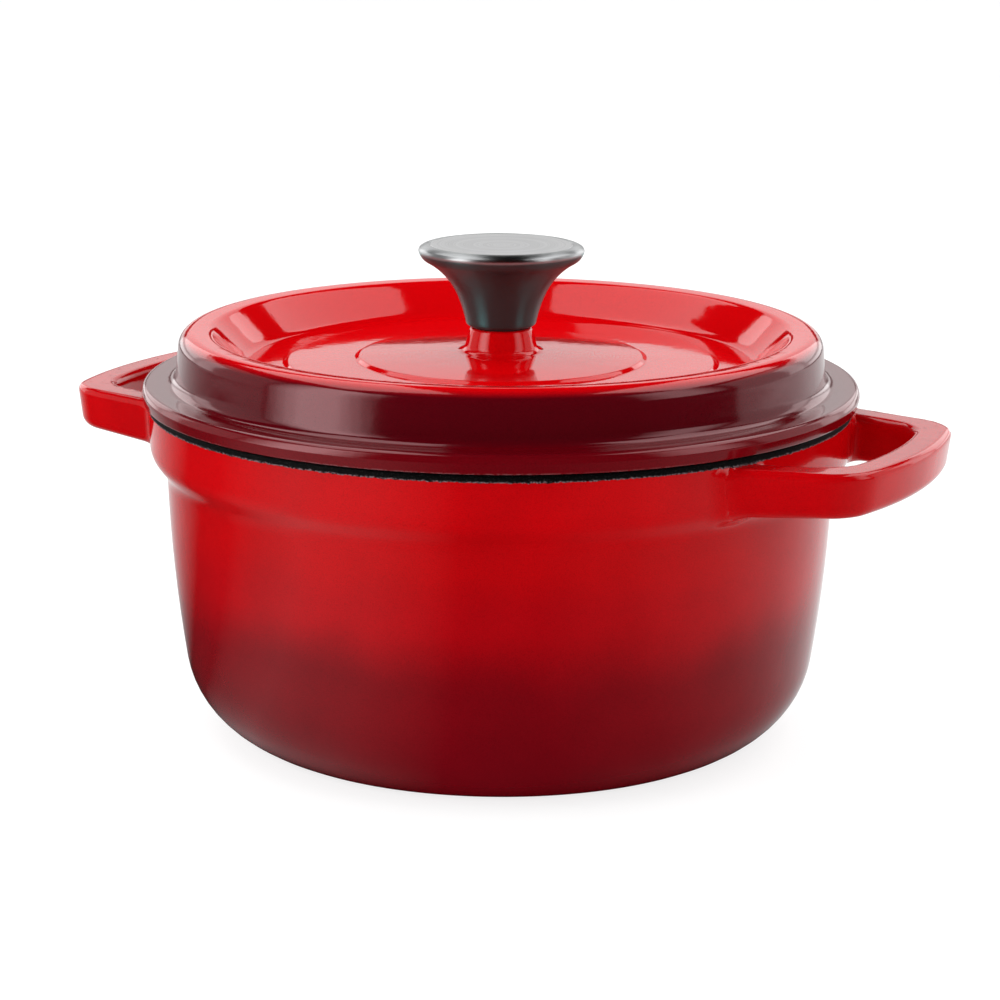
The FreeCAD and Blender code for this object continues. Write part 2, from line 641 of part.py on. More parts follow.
def cut_slot(body, name, corners, depth, upward):
    """Cut a straight-sided slot drawn at the body's own zero height or below it."""
    sketch = draw_loop(new_sketch(body, name + "_plan", "XY_Plane", depth[0]), corners)
    slot = body.newObject("PartDesign::Pocket", name)
    slot.Profile = sketch
    slot.Reversed = upward
    slot.Length = size(depth[1])
    slot.setExpression("Length", "dims." + depth[1])
    sketch.Visibility = False
    doc.recompute()
    return slot


def make_spring_washer():
    body = make_ring("spring_washer", "screw_place", "spring_hole", "spring_radius", "spring_thick")
    cut_slot(body, "spring_slit", [
        ("0", "-split_half"), ("split_far", "-split_half"), ("split_far", "split_half"),
        ("0", "split_half")], ("0", "spring_thick"), True)
    return body


def make_screw():
    """Pan head screw entering from under the lid; zero height is the face under the head."""
    body = new_body("knob_screw", "screw_place")
    blank = turn(body, "screw_section", [
        ("0", "-screw_head"), ("screw_head_radius", "-screw_head"), ("screw_head_radius", "0"),
        ("thread_radius", "0"), ("thread_radius", "tip_height"), ("tip_radius", "screw_length"),
        ("0", "screw_length")])
    round_rings(body, "screw_head_edge", blank, [("screw_head_radius", "-screw_head")],
                "screw_edge")
    for name, along, across in (("slot_one", "slot_half_long", "slot_half"),
                                ("slot_two", "slot_half", "slot_half_long")):
        cut_slot(body, name, [
            ("-" + along, "-" + across), (along, "-" + across), (along, across),
            ("-" + along, across)], ("-screw_head", "screw_slot_deep"), True)
    return body


# ---------------------------------------------------------------------- whole object
def check(body):
    """Stop if any step of a piece failed or the piece is not one sound solid."""
    for step in body.Group:
        if "Invalid" in step.State or "Error" in step.State:
            raise ValueError("%s: %s" % (step.Name, step.State))
    shape = body.Shape
    if shape.isNull() or not shape.isValid() or len(shape.Solids) != 1:
        raise ValueError(body.Label + " is not one sound solid")


pieces = [
    make_pot(),
    make_lid(),
    make_knob_shell(),
    make_knob_cap(),
    make_knob_bush(),
    make_ring("knob_seal", "seal_place", "seal_hole", "seal_radius", "seal_thick"),
    make_ring("flat_washer", "washer_place", "washer_hole", "washer_radius", "washer_thick",
              "washer_edge"),
    make_spring_washer(),
    make_screw(),
]
doc.recompute()

os.makedirs("parts", exist_ok=True)
for piece in pieces:
    check(piece)
    piece.Shape.exportStep("parts/%s.step" % piece.Label)
    print("%-14s %9.1f mm3" % (piece.Label, piece.Shape.Volume))
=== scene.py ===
import math
import bpy
from mathutils import Matrix, Vector


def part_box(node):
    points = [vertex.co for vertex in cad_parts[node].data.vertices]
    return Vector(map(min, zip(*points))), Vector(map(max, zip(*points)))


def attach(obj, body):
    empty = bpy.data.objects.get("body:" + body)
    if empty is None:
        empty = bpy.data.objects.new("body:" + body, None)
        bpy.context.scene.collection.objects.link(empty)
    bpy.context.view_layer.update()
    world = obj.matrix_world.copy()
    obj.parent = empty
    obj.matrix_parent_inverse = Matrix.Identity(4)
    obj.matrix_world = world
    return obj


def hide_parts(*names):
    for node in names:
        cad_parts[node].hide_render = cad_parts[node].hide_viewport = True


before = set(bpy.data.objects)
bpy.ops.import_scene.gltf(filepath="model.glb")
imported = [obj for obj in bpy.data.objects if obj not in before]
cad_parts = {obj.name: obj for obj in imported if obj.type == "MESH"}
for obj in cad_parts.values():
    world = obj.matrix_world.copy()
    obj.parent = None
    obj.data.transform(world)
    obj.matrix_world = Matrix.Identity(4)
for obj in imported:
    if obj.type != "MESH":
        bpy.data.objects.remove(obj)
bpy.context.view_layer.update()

# Enamelled cast iron dutch oven: glossy red castings, steel knob, white studio.
# Lengths are millimetres from the centre of the base, and MM turns them into metres.
MM = 0.001
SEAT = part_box("pot")[1].z / MM           # the rim plane the lid rests on
KNOB_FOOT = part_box("knob_shell")[0].z / MM
BARE_FROM = 113.7                        # the enamel of the pot ends here, under the rim
RED_FLECKS = [(0.30, 0.72), (0.50, 1.0), (0.72, 1.15)]
CAP_FOOT, CAP_TOP = (corner.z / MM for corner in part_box("knob_cap"))
POT_TURNS, LID_TURNS, KNOB_TURNS, STUDIO_TURNS = 640, 480, 256, 96     # facets round the axis


# ------------------------------------------------------------------ outline helpers
def arc(a, b, radius, side, steps):
    """Points after a up to b on an arc; side +1 bulges to the right of travel."""
    (ax, ay), (bx, by) = a, b
    dx, dy = bx - ax, by - ay
    length = math.hypot(dx, dy)
    rise = math.sqrt(radius * radius - length * length / 4)
    cx = (ax + bx) / 2 - side * dy / length * rise
    cy = (ay + by) / 2 + side * dx / length * rise
    start = math.atan2(ay - cy, ax - cx)
    turn = (math.atan2(by - cy, bx - cx) - start) % (2 * math.pi)
    if turn > math.pi:
        turn -= 2 * math.pi
    return [(cx + radius * math.cos(start + turn * k / steps),
             cy + radius * math.sin(start + turn * k / steps)) for k in range(1, steps + 1)]


def rounded(points, steps=6):
    """Open outline through (r, z) corners; a third number rounds that corner."""
    out = []
    for i, p in enumerate(points):
        radius = p[2] if len(p) > 2 else 0
        if not radius or i in (0, len(points) - 1):
            out.append((p[0], p[1]))
            continue
        here = Vector(p[:2])
        back = Vector(points[i - 1][:2]) - here
        ahead = Vector(points[i + 1][:2]) - here
        half = back.angle(ahead) / 2
        reach = min(radius / math.tan(half), back.length * 0.49, ahead.length * 0.49)
        first = here + back.normalized() * reach
        last = here + ahead.normalized() * reach
        side = 1 if back.x * ahead.y - back.y * ahead.x < 0 else -1
        out.append(tuple(first))
        out += arc(tuple(first), tuple(last), reach * math.tan(half), side, steps)
    return out


def fine(points, longest):
    """Split long straight runs so shading and bump stay even."""
    out = [points[0]]
    for a, b in zip(points, points[1:]):
        parts = max(1, math.ceil(math.dist(a, b) / longest))
        out += [(a[0] + (b[0] - a[0]) * k / parts, a[1] + (b[1] - a[1]) * k / parts)
                for k in range(1, parts + 1)]
    return out


def new_object(name, verts, faces, materials, face_slots=None):
    """Smooth shaded mesh object in the scene; face_slots gives each face its material."""
    mesh = bpy.data.meshes.new(name)
    mesh.from_pydata(verts, [], faces)
    mesh.validate()
    for material in materials:
        mesh.materials.append(material)
    if face_slots:
        mesh.polygons.foreach_set("material_index", face_slots)
    mesh.polygons.foreach_set("use_smooth", [True] * len(mesh.polygons))
    mesh.update()
    obj = bpy.data.objects.new(name, mesh)
    bpy.context.scene.collection.objects.link(obj)
    return obj


def turned(profile, turns, closed=False):
    """Vertices and rows of faces of a surface turned about Z from (r, z) points in mm."""
    verts, rings = [], []
    for r, z in profile:
        if r < 1e-6:
            rings.append([len(verts)] * turns)
            verts.append((0.0, 0.0, z * MM))
            continue
        rings.append(list(range(len(verts), len(verts) + turns)))
        verts += [(r * MM * math.cos(2 * math.pi * k / turns),
                   r * MM * math.sin(2 * math.pi * k / turns), z * MM) for k in range(turns)]
    rows = []
    for ring, upper in zip(rings, rings[1:] + rings[:1] if closed else rings[1:]):
        row = []
        for k in range(turns):
            n = (k + 1) % turns
            corners = [ring[k], ring[n], upper[n], upper[k]]
            face = [c for m, c in enumerate(corners) if c not in corners[:m]]
            if len(face) > 2:
                row.append(face)
        rows.append(row)
    return verts, rows


def joined(rows):
    """All faces of some rows in one list."""
    return [face for row in rows for face in row]


# ------------------------------------------------------------------ shader helpers
class Shader:
    """Node tree of one material, with short calls for the nodes used here."""

    def __init__(self, name):
        self.material = bpy.data.materials.new(name)
        self.material.use_nodes = True
        self.tree = self.material.node_tree
        self.skin = self.tree.nodes["Principled BSDF"]
        self.place = self.tree.nodes.new("ShaderNodeTexCoord").outputs["Object"]
        self.axes = self.tree.nodes.new("ShaderNodeSeparateXYZ")
        self.link(self.place, self.axes.inputs[0])
        self.height = self.axes.outputs["Z"]

    def link(self, source, target):
        self.tree.links.new(source, target)

    def feed(self, node, index, value):
        if isinstance(value, bpy.types.NodeSocket):
            self.link(value, node.inputs[index])
        else:
            node.inputs[index].default_value = value

    def math(self, operation, a, b=0.0):
        node = self.tree.nodes.new("ShaderNodeMath")
        node.operation = operation
        self.feed(node, 0, a)
        self.feed(node, 1, b)
        return node.outputs[0]

    def noise(self, scale, detail=2.0, roughness=0.5, place=None):
        node = self.tree.nodes.new("ShaderNodeTexNoise")
        node.inputs["Scale"].default_value = scale
        node.inputs["Detail"].default_value = detail
        node.inputs["Roughness"].default_value = roughness
        self.link(place or self.place, node.inputs["Vector"])
        return node.outputs["Fac"]

    def ramp(self, value, stops, smooth=True):
        """Colour or grey along value; each stop is (position, grey or RGB)."""
        node = self.tree.nodes.new("ShaderNodeValToRGB")
        node.color_ramp.interpolation = "EASE" if smooth else "LINEAR"
        marks = node.color_ramp.elements
        while len(marks) < len(stops):
            marks.new(0.5)
        for mark, (position, colour) in zip(marks, stops):
            mark.position = position
            rgb = colour if isinstance(colour, tuple) else (colour,) * 3
            mark.color = (*rgb, 1.0)
        self.link(value, node.inputs[0])
        return node.outputs[0]

    def band(self, value, low, high):
        """0 below low, 1 above high."""
        node = self.tree.nodes.new("ShaderNodeMapRange")
        node.interpolation_type = "SMOOTHSTEP"
        self.feed(node, 0, value)
        node.inputs[1].default_value = low
        node.inputs[2].default_value = high
        return node.outputs[0]

    def rise(self, low, high, height=None):
        """0 below one height in mm and 1 above another."""
        return self.band(height or self.height, low * MM, high * MM)

    def less(self, value):
        """One minus value."""
        return self.math("SUBTRACT", 1.0, value)

    def sway(self, scale, detail, size):
        """Noise about zero, size from end to end."""
        return self.math("MULTIPLY", self.math("SUBTRACT", self.noise(scale, detail), 0.5), size)

    def mix(self, factor, a, b, blend="MIX"):
        node = self.tree.nodes.new("ShaderNodeMix")
        node.data_type = "RGBA"
        node.blend_type = blend
        self.feed(node, 0, factor)
        for index, value in ((6, a), (7, b)):
            self.feed(node, index, (*value, 1.0) if isinstance(value, tuple) else value)
        return node.outputs[2]

    def radius(self):
        """Distance from the axis of the pot."""
        x, y = self.axes.outputs["X"], self.axes.outputs["Y"]
        square = self.math("ADD", self.math("MULTIPLY", x, x), self.math("MULTIPLY", y, y))
        return self.math("SQRT", square)

    def bump(self, height, distance, strength, after=None):
        node = self.tree.nodes.new("ShaderNodeBump")
        node.inputs["Strength"].default_value = strength
        node.inputs["Distance"].default_value = distance
        self.link(height, node.inputs["Height"])
        if after:
            self.link(after, node.inputs["Normal"])
        return node.outputs[0]

    def set(self, **values):
        """Feed the surface's inputs by their short names, and give the material."""
        names = {"colour": "Base Color", "rough": "Roughness", "metal": "Metallic",
                 "normal": "Normal", "specular": "Specular IOR Level", "tint": "Specular Tint",
                 "ior": "IOR", "anisotropy": "Anisotropic", "turn": "Anisotropic Rotation",
                 "along": "Tangent", "glow": "Emission Color", "glow_strength": "Emission Strength"}
        for key, value in values.items():
            self.feed(self.skin, names[key], (*value, 1.0) if isinstance(value, tuple) else value)
        return self.material


def enamel(name, rough):
    """Shader of a glossy enamel with slight waves and orange peel in its surface."""
    shade = Shader(name)
    peel = shade.bump(shade.noise(420.0, 1.0), 0.00003, 0.40)
    shade.set(rough=rough, normal=shade.bump(shade.noise(60.0, 2.0), 0.00020, 0.50, peel))
    return shade


def flecked(shade, colour, stops):
    """The colour with fine specks; stops are the speck's strength along its noise."""
    specks = shade.ramp(shade.noise(2600.0, 2.0, 0.7), stops)
    return shade.mix(1.0, colour, specks, "MULTIPLY")


def red_pot():
    """Bright red near the rim, burgundy towards the base; bare black ground coat on the rim."""
    shade = enamel("enamel_red", 0.06)
    level = shade.math("ADD", shade.height, shade.sway(14.0, 2.0, 0.02))
    colour = shade.ramp(shade.rise(0.0, 120.0, level), [
        (0.0, (0.125, 0.001, 0.004)), (0.27, (0.165, 0.001, 0.004)),
        (0.60, (0.35, 0.0005, 0.003)), (0.80, (0.40, 0.0004, 0.002)),
        (1.0, (0.44, 0.0004, 0.002))])
    colour = flecked(shade, colour, RED_FLECKS)
    cloud = shade.ramp(shade.noise(28.0, 3.0), [(0.3, 0.90), (0.7, 1.06)])
    colour = shade.mix(1.0, colour, cloud, "MULTIPLY")
    ragged = shade.math("ADD", shade.height, shade.sway(700.0, 3.0, 0.0012))
    bare = shade.rise(BARE_FROM, BARE_FROM + 0.3, ragged)
    black = shade.ramp(shade.noise(2400.0, 3.0, 0.7), [(0.35, 0.0008), (0.58, 0.003), (0.72, 0.03)])
    edge = shade.math("MULTIPLY", bare, shade.less(
        shade.rise(BARE_FROM + 0.3, BARE_FROM + 0.8, ragged)))
    worn = shade.math("MULTIPLY", edge, shade.band(shade.noise(1500.0, 2.0), 0.40, 0.60))
    black = shade.mix(worn, black, (0.17, 0.12, 0.13))
    return shade.set(colour=shade.mix(bare, colour, black),
                     specular=shade.ramp(bare, [(0.0, 0.5), (1.0, 0.06)]),
                     rough=shade.ramp(bare, [(0.0, 0.08), (1.0, 0.6)]))


def red_lid():
    """Bright red top, dark burgundy on the raised wall and the flange."""
    shade = enamel("enamel_red_lid", 0.06)
    edge = shade.math("ADD", shade.radius(), shade.sway(22.0, 2.0, 0.004))
    outside = shade.band(edge, 0.1060, 0.1090)
    sides = shade.math("MULTIPLY", outside, shade.less(shade.rise(SEAT + 21.2, SEAT + 24.4)))
    # Painted light: the flange and the foot of the wall get a lighter burgundy than the wall above,
    # standing in for the light falling on the flange's upper face.
    burgundy = shade.mix(shade.rise(SEAT + 4.7, SEAT + 8.2), (0.115, 0.0005, 0.003),
                         (0.076, 0.0003, 0.003))
    colour = shade.mix(sides, (0.58, 0.0004, 0.002), burgundy)
    colour = flecked(shade, colour, RED_FLECKS)
    lip = shade.math("MULTIPLY", shade.band(edge, 0.1236, 0.1243),
                     shade.less(shade.rise(SEAT, SEAT + 0.8)))
    worn = shade.math("MULTIPLY", lip, shade.band(shade.noise(900.0, 2.0), 0.35, 0.6))
    colour = shade.mix(shade.math("MULTIPLY", worn, 0.5), colour, (0.24, 0.13, 0.14))
    return shade.set(colour=colour, rough=shade.ramp(sides, [(0.0, 0.06), (1.0, 0.12)]),
                     specular=shade.ramp(sides, [(0.0, 0.5), (1.0, 0.85)]),
                     tint=shade.mix(sides, (1.0, 1.0, 1.0), (1.0, 0.60, 0.63)))


def cream():
    """Sand coloured inside enamel with faint mottling."""
    shade = enamel("enamel_cream", 0.12)
    mottle = shade.ramp(shade.noise(45.0, 3.0), [(0.3, 0.94), (0.7, 1.0)])
    colour = shade.mix(1.0, (0.70, 0.60, 0.44), mottle, "MULTIPLY")
    return shade.set(colour=flecked(shade, colour, [(0.25, 0.80), (0.42, 1.0)]))


def black_rim():
    """Matt, slightly grainy ground coat left bare on the rim."""
    shade = Shader("enamel_black")
    grain = shade.noise(2400.0, 3.0, 0.7)
    colour = shade.ramp(grain, [(0.35, 0.002), (0.62, 0.006), (0.75, 0.03)])
    return shade.set(colour=colour, rough=shade.ramp(grain, [(0.3, 0.45), (0.7, 0.7)]),
                     normal=shade.bump(grain, 0.00008, 0.6), specular=0.3)


def turned_finish(shade, colour, rough, fineness, streak):
    """Colour, roughness and normal of turned steel: fine rings and faint smudges."""
    rings = shade.tree.nodes.new("ShaderNodeCombineXYZ")
    shade.link(shade.math("MULTIPLY", shade.radius(), fineness), rings.inputs["X"])
    shade.link(shade.math("MULTIPLY", shade.height, fineness), rings.inputs["Z"])
    lines = shade.noise(1.0, 3.0, 0.6, rings.outputs[0])
    smudge = shade.noise(90.0, 3.0, 0.6)
    tone = shade.ramp(lines, [(0.25, 1.0 - streak), (0.75, 1.0)])
    uneven = shade.math("MULTIPLY", shade.math("ADD", smudge, lines), rough * 0.5)
    return (shade.mix(1.0, colour, tone, "MULTIPLY"), shade.math("ADD", uneven, rough * 0.5),
            shade.bump(lines, 0.00001, 0.5))


def steel(name, colour, rough, fineness, streak):
    """Bare turned steel."""
    shade = Shader(name)
    tone, gloss, surface = turned_finish(shade, colour, rough, fineness, streak)
    return shade.set(colour=tone, metal=1.0, rough=gloss, normal=surface)


def knob_steel():
    """Polished rolled rim over a dark stem, whose cool colour and specular tint are painted to hold
    back the lid's red reflection.
    """
    shade = Shader("steel_polished")
    tone, gloss, surface = turned_finish(shade, (0.46, 0.47, 0.475), 0.34, 900.0, 0.12)
    round_axis = shade.tree.nodes.new("ShaderNodeTangent")
    round_axis.direction_type = "RADIAL"
    round_axis.axis = "Z"
    shade.set(along=round_axis.outputs[0], anisotropy=0.85, turn=0.25, ior=2.7)
    rim = shade.rise(KNOB_FOOT + 25.2, KNOB_FOOT + 26.6)
    # Painted reflection: the stem's dark cyan colour and its specular tint cancel the red of the
    # lid seen in it.
    return shade.set(colour=shade.mix(rim, (0.006, 0.029, 0.030), tone), metal=rim,
                     rough=shade.mix(rim, (0.30, 0.30, 0.30), gloss), normal=surface,
                     tint=shade.mix(rim, (0.29, 1.0, 1.0), (1.0, 1.0, 1.0)))


def rubber():
    """Matt black seal."""
    shade = Shader("seal_black")
    grain = shade.noise(1500.0, 2.0)
    return shade.set(colour=shade.ramp(grain, [(0.3, 0.012), (0.7, 0.03)]), rough=0.75,
                     normal=shade.bump(grain, 0.00002, 0.4))


# ------------------------------------------------------------------ pot with its handles
COLLAR, MOUTH = 122.5, 118.9                # outside and inside radius of the rim
HEEL_OUT = arc((90.6, 0.0), (110.9, 26.0), 34.0, 1, 10)
WALL_OUT = arc((110.9, 26.0), (116.6, 91.5), 520.0, 1, 8)
WALL_IN = arc((113.0, 91.5), (107.3, 28.0), 520.0, -1, 8)
HEEL_IN = arc((107.3, 28.0), (85.6, 4.4), 30.0, -1, 10)
SKIN = rounded([(0.0, 0.0), (90.6, 0.0, 2.5)] + HEEL_OUT + WALL_OUT[:-1] + [
    (116.6, 91.5, 9.0), (122.3, 99.0, 9.0), (COLLAR, SEAT, 2.0), (MOUTH, SEAT, 1.2)], 8)
LINING = rounded([(MOUTH, SEAT, 1.2), (MOUTH, 100.0, 6.0), (113.0, 91.5, 6.0)]
                 + WALL_IN + HEEL_IN + [(0.0, 4.4)], 6)
NECK = 84.0                                 # the collar and the handles are all above this

HANDLE_TOP = 113.6
REACH, BAR = 157.5, 12.5                    # axis to the outer face, and the bar's thickness
LEG_OUT = ((96.0, 59.6), (150.4, 47.0))     # outer side of a leg, root to corner
LEG_IN = ((102.0, 46.0), (140.5, 35.9))     # side towards the finger opening
CORNER_OUT, CORNER_IN = 10.5, 8.0
DRAFT = math.radians(8.0)
EDGE, EDGE_LOW = 2.6, 3.2                   # rounded edges, and the lower outer one
UNDER_ROOT, UNDER_SLOPE = 97.0, 2.0 / 34.5  # lower face at the collar, and its rise outwards
FLARE, FLARE_TOP = 5.5, 2.2                 # reach of the cast blend into the collar
TUCK = 1.4                                  # how far a handle's first ring is inside the wall
DEEP, HIDDEN = 4.0, 2.2                     # skin this far inside a handle is left as it is
RING_POINTS, CORNER_STEPS, LEG_STEPS, BLEND_STEPS = 60, 14, 10, 9


def line_of(ends):
    """Outward normal and offset of a leg side in plan."""
    (ax, ay), (bx, by) = ends
    length = math.hypot(bx - ax, by - ay)
    normal = (-(by - ay) / length, (bx - ax) / length)
    return normal, normal[0] * ax + normal[1] * ay


OUT_N, OUT_C = line_of(LEG_OUT)
IN_N, IN_C = line_of(LEG_IN)


def rmax(a, b, radius):
    """Distance to the edge between two faces, rounded off by a radius."""
    u, v = a + radius, b + radius
    return math.hypot(max(u, 0.0), max(v, 0.0)) + min(max(u, v), 0.0) - radius


def underside(r):
    """Height of the lower face of a handle at a distance from the axis."""
    return UNDER_ROOT + UNDER_SLOPE * (r - COLLAR)


def to_handle(p):
    """Signed distance in mm from a point to the loop handles without their blends."""
    x, y, z = abs(p[0]), abs(p[1]), p[2]
    r = math.hypot(x, y)
    outline = rmax(r - REACH, OUT_N[0] * x + OUT_N[1] * y - OUT_C, CORNER_OUT)
    out = (outline + (HANDLE_TOP - z) * math.tan(DRAFT)) * math.cos(DRAFT)
    inside = -rmax(r - REACH + BAR, IN_N[0] * x + IN_N[1] * y - IN_C, CORNER_IN)
    top = z - HANDLE_TOP
    low = underside(r) - z
    return max(rmax(top, out, EDGE), rmax(top, inside, EDGE),
               rmax(low, out, EDGE_LOW), rmax(low, inside, EDGE))


NEAR = [q for q in fine(SKIN, 3.0) if q[1] > 60.0]      # the skin anywhere near a handle


def to_pot(p):
    """Signed distance in mm from a point to the outer skin of the pot."""
    r, z = math.hypot(p[0], p[1]), p[2]
    best, side = 1e9, 1.0
    for (ar, az), (br, bz) in zip(NEAR, NEAR[1:]):
        dr, dz = br - ar, bz - az
        t = max(0.0, min(1.0, ((r - ar) * dr + (z - az) * dz) / (dr * dr + dz * dz)))
        gap = math.hypot(r - ar - t * dr, z - az - t * dz)
        if gap < best:
            best = gap
            side = 1.0 if dz * (r - ar) - dr * (z - az) > 0 else -1.0
    return best * side


def slope(field, p, step=0.02):
    """Gradient of a distance field."""
    out = []
    for axis in range(3):
        ahead, behind = list(p), list(p)
        ahead[axis] += step
        behind[axis] -= step
        out.append((field(ahead) - field(behind)) / (2 * step))
    return Vector(out)


def flare_at(normal):
    """The blend is small above the top face and full on the sides and below."""
    return FLARE - (FLARE - FLARE_TOP) * max(0.0, normal.z) ** 0.7


def settle(p, handle_gap, pot_gap=None):
    """Move a point until it has the given distances to the handle and to the pot."""
    p = Vector(p)
    for _ in range(7):
        first = slope(to_handle, p)
        miss = handle_gap - to_handle(p)
        if pot_gap is None:
            p += first * (miss / first.length_squared)
            continue
        second = slope(to_pot, p)
        other = pot_gap - to_pot(p)
        aa, ab, bb = first.length_squared, first.dot(second), second.length_squared
        det = max(aa * bb - ab * ab, 0.05)
        p += first * ((miss * bb - other * ab) / det) + second * ((other * aa - miss * ab) / det)
    return p


def section(a, b):
    """Points round a handle section whose outer top corner is a and inner one b, in plan."""
    ax, ay = a
    wx, wy = b[0] - ax, b[1] - ay
    width = math.hypot(wx, wy)
    low = underside(math.hypot(ax + wx / 2, ay + wy / 2))
    lean = (HANDLE_TOP - low) * math.tan(DRAFT)
    ring = rounded([(width / 2, HANDLE_TOP), (0.0, HANDLE_TOP, EDGE), (lean, low, EDGE_LOW),
                    (width, low, EDGE), (width, HANDLE_TOP, EDGE), (width / 2, HANDLE_TOP)], 7)
    run = [0.0]
    for p, q in zip(ring, ring[1:]):
        run.append(run[-1] + math.dist(p, q))
    points, k = [], 0
    for i in range(RING_POINTS):
        goal = run[-1] * i / RING_POINTS
        while run[k + 1] < goal:
            k += 1
        t = (goal - run[k]) / (run[k + 1] - run[k])
        n = ring[k][0] + (ring[k + 1][0] - ring[k][0]) * t
        z = ring[k][1] + (ring[k + 1][1] - ring[k][1]) * t
        points.append(Vector((ax + wx * n / width, ay + wy * n / width, z)))
    return points


def corner_of(normal, offset, reach, radius):
    """Centre of the corner round, and its two ends on the leg side and on the bar."""
    inner = offset - radius
    along = math.sqrt((reach - radius) ** 2 - inner ** 2)
    cx = normal[0] * inner + normal[1] * along
    cy = normal[1] * inner - normal[0] * along
    leg = (cx + normal[0] * radius, cy + normal[1] * radius)
    grow = reach / (reach - radius)
    return (cx, cy), leg, (cx * grow, cy * grow)


def handle_rings():
    """Rings from the wall of the pot round to the middle of the bar, on the +X +Y quarter."""
    mid_out, leg_out, bar_out = corner_of(OUT_N, OUT_C, REACH, CORNER_OUT)
    mid_in, leg_in, bar_in = corner_of(IN_N, IN_C, REACH - BAR, CORNER_IN)
    stations = []
    for (centre, leg, bar, reach) in ((mid_out, leg_out, bar_out, REACH),
                                      (mid_in, leg_in, bar_in, REACH - BAR)):
        first = math.atan2(leg[1] - centre[1], leg[0] - centre[0])
        last = math.atan2(bar[1] - centre[1], bar[0] - centre[0])
        radius = math.dist(leg, centre)
        corner = [first + (last - first) * i / CORNER_STEPS for i in range(CORNER_STEPS + 1)]
        swing = math.atan2(bar[1], bar[0])
        along_bar = [swing * (1 - i / CORNER_STEPS) for i in range(1, CORNER_STEPS + 1)]
        stations.append([(centre[0] + radius * math.cos(t), centre[1] + radius * math.sin(t))
                         for t in corner]
                        + [(reach * math.cos(t), reach * math.sin(t)) for t in along_bar])
    rest = [[settle(p, 0.0) for p in section(a, b)] for a, b in zip(*stations)]

    def on_leg(normal, offset):
        along = math.sqrt((COLLAR + FLARE) ** 2 - offset ** 2)
        return normal[0] * offset + normal[1] * along, normal[1] * offset - normal[0] * along

    root = []
    for point in section(on_leg(OUT_N, OUT_C), on_leg(IN_N, IN_C)):
        point = settle(point, 0.0)
        flare = flare_at(slope(to_handle, point).normalized())
        point = settle(point, 0.0, flare)
        column = [point]
        for step in range(1, BLEND_STEPS + 1):
            spread = flare * (1.0 - step / BLEND_STEPS) ** 1.3
            offset = (flare - spread) ** 2 / (4 * flare)
            point = settle(point, offset, offset + spread)
            column.append(point)
        column.append(settle(point, flare / 4 - 0.5, -TUCK))
        root.append(column[::-1])
    flared = [[column[i] for column in root] for i in range(len(root[0]))]
    ready = flared[-1]
    legs = [[settle(p.lerp(q, i / LEG_STEPS), 0.0) for p, q in zip(ready, rest[0])]
            for i in range(1, LEG_STEPS)]
    return flared + legs + rest


def handle_mesh():
    """Closed mesh of the +X handle in mm, and the rings of it that meet the pot."""
    quarter = handle_rings()
    mirrored = [[Vector((p.x, -p.y, p.z)) for p in ring] for ring in quarter[-2::-1]]
    rings = quarter + mirrored
    count = RING_POINTS
    verts = [p for ring in rings for p in ring]
    faces = []
    for i in range(len(rings) - 1):
        for k in range(count):
            n = (k + 1) % count
            faces.append([i * count + k, (i + 1) * count + k, (i + 1) * count + n, i * count + n])
    faces.append(list(range(count)))
    faces.append(list(range(len(verts) - 1, len(verts) - 1 - count, -1)))
    seams = [[ring * count + k for k in range(count)] for ring in (1, len(rings) - 2)]
    return verts, faces, seams


def raise_root(p):
    """Blend of the collar towards a handle, for one point of the pot skin."""
    p = Vector(p)
    gap = to_handle(p)
    if gap > FLARE or gap < -DEEP:
        return p
    out = slope(to_pot, p).normalized()
    lift = 0.0
    for _ in range(5):
        here = p + out * lift
        gap = to_handle(here)
        flare = flare_at(slope(to_handle, here).normalized())
        crease = flare / 4
        if gap >= flare:
            lift = 0.0
        elif gap >= crease:
            lift = (math.sqrt(flare) - math.sqrt(gap)) ** 2
        else:
            lift = crease + 0.6 * (crease - gap) if crease - gap < HIDDEN else 0.0
    return p + out * lift


def make_pot(red, lining, rim):
    """One casting: turned body, both handles, cream lining and bare rim."""
    outer = fine([q for q in SKIN if q[1] < NECK], 3.0)
    outer += fine([outer[-1]] + [q for q in SKIN if q[1] >= NECK and q not in outer], 0.8)[1:]
    profile = outer + fine([outer[-1]] + LINING, 4.0)[1:]
    verts, rows = turned(profile, POT_TURNS)
    lining_start = 1 + POT_TURNS * (len(outer) - 1)     # the first point is single, on the axis
    for i, (x, y, z) in enumerate(verts[:lining_start]):
        if z > (NECK + 1.0) * MM and abs(x) > 80.0 * MM:
            verts[i] = tuple(raise_root((x / MM, y / MM, z / MM)) * MM)
    faces, slots = joined(rows), []
    for i, row in enumerate(rows):
        low, high = sorted(z for r, z in profile[i:i + 2])
        inside = i >= len(outer)
        bare = (low + high) / 2 >= SEAT - 0.4 or inside and high >= BARE_FROM
        slots += [2 if bare else int(inside)] * len(row)
    grip, grip_faces, seams = handle_mesh()
    sharp = set()
    for turn in (1.0, -1.0):
        base = len(verts)
        verts += [(p.x * turn * MM, p.y * turn * MM, p.z * MM) for p in grip]
        faces += [[base + v for v in face] for face in grip_faces]
        slots += [0] * len(grip_faces)
        for ring in seams:
            sharp |= {frozenset((base + a, base + b)) for a, b in zip(ring, ring[1:] + ring[:1])}
    pot = new_object("Pot_casting", verts, faces, [red, lining, rim], slots)
    for edge in pot.data.edges:
        if frozenset(edge.vertices) in sharp:
            edge.use_edge_sharp = True
    return pot


# ------------------------------------------------------------------ lid
RING_OUT = 117.8                            # outside of the locating ring


